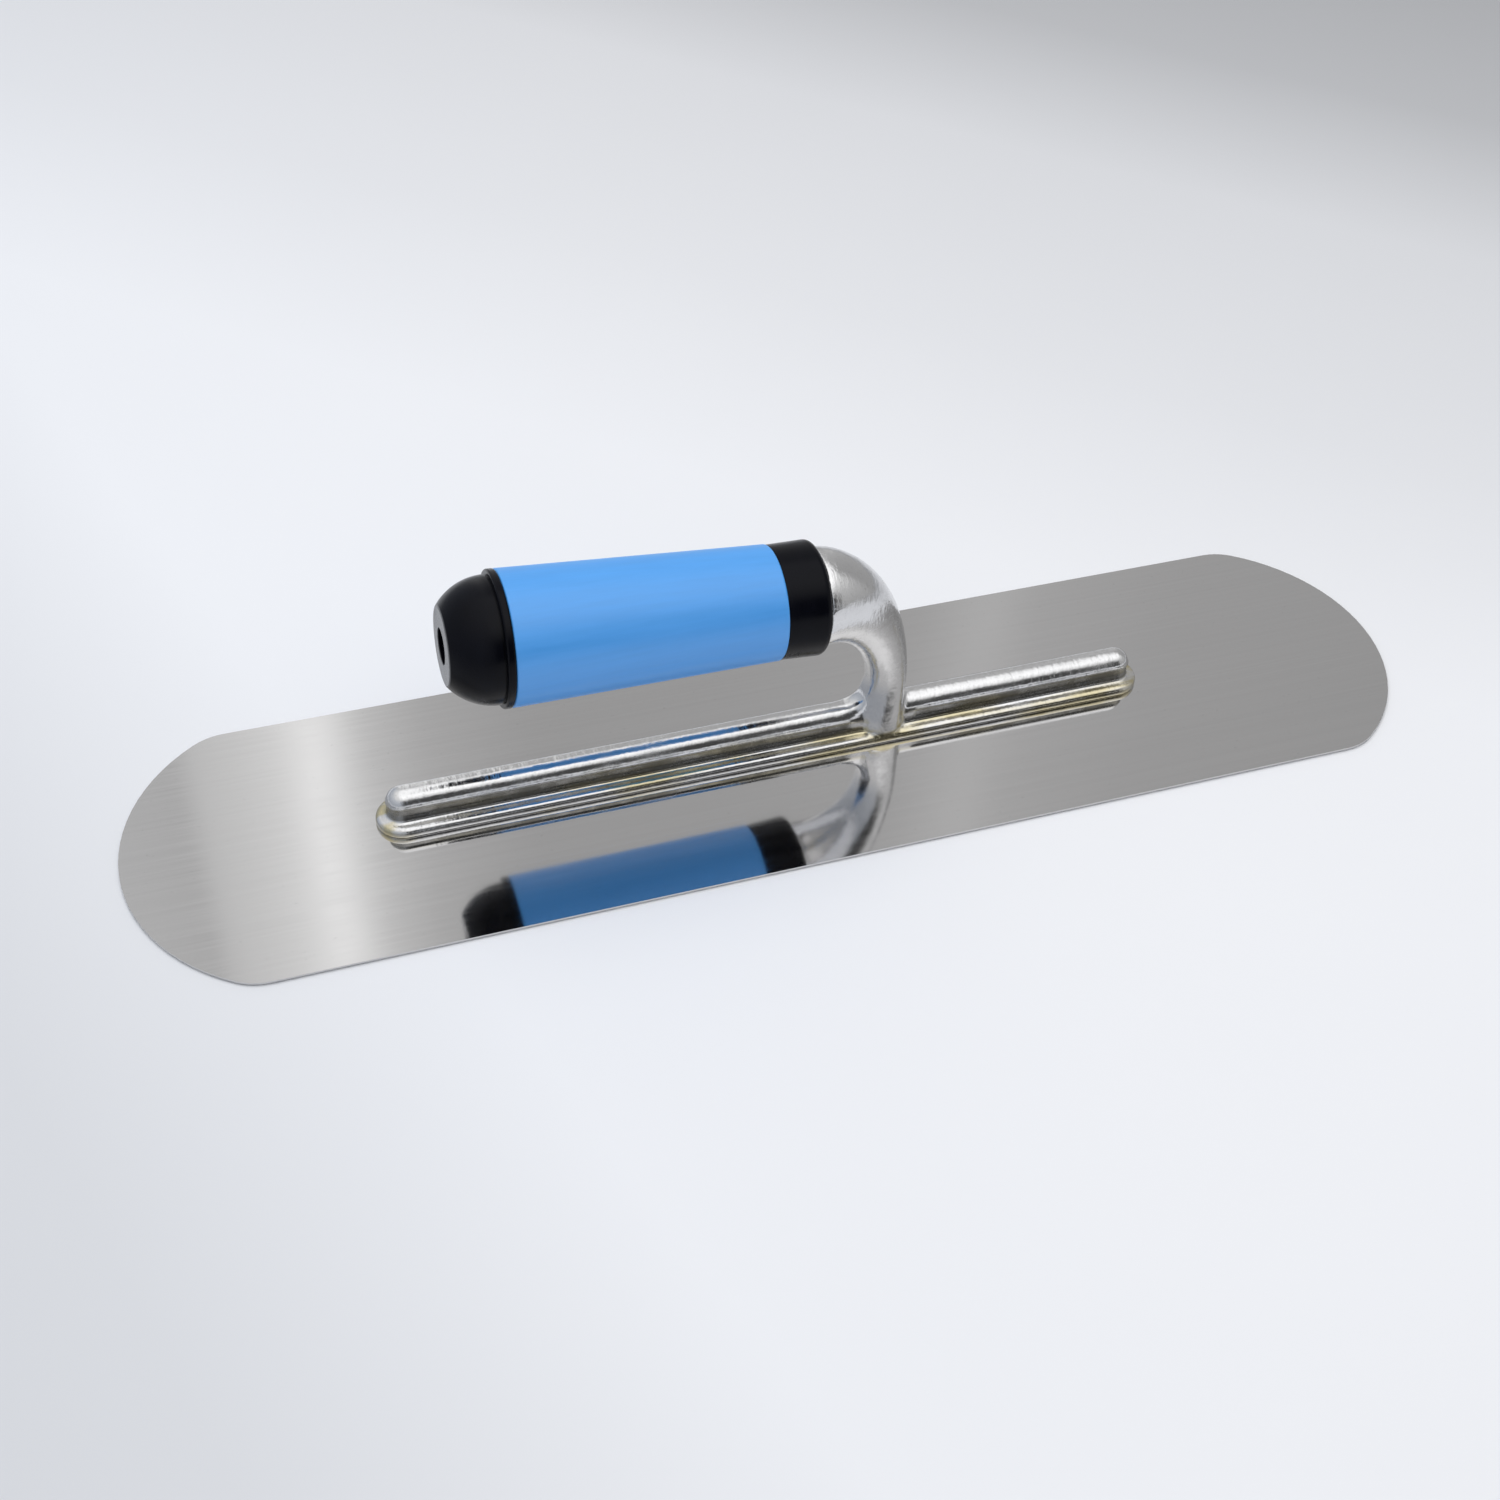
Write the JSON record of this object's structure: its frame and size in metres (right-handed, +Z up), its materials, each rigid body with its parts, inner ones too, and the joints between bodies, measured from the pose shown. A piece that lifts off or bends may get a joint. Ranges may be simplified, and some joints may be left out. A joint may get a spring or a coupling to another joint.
{
  "type": "finishing trowel",
  "caption": "Hand finishing trowel: thin polished steel blade with rounded ends, riveted under a polished spine casting whose gooseneck carries a capped blue grip.",
  "frame": {"origin": "middle of the blade's underside", "axes": "+X along the blade towards the end the gooseneck faces, +Y across it, +Z up to the handle"},
  "size_m": [0.4, 0.1, 0.0819],
  "materials": {
    "blade_steel": "polished",
    "polished_aluminium": "polished",
    "rivet_steel": "ground flush",
    "core_plastic": "moulded",
    "blue_grip": "satin",
    "black_plastic": "satin",
    "zinc_steel": "zinc plated"
  },
  "bodies": {
    "root": {"blade": "blade_steel", "spine_casting": "polished_aluminium", "blade_rivets": "rivet_steel", "handle_core": "core_plastic", "front_ferrule": "black_plastic", "grip_sleeve": "blue_grip", "end_cap": "black_plastic", "screw_washer": "zinc_steel", "handle_screw": "zinc_steel"}
  },
  "joints": []
}
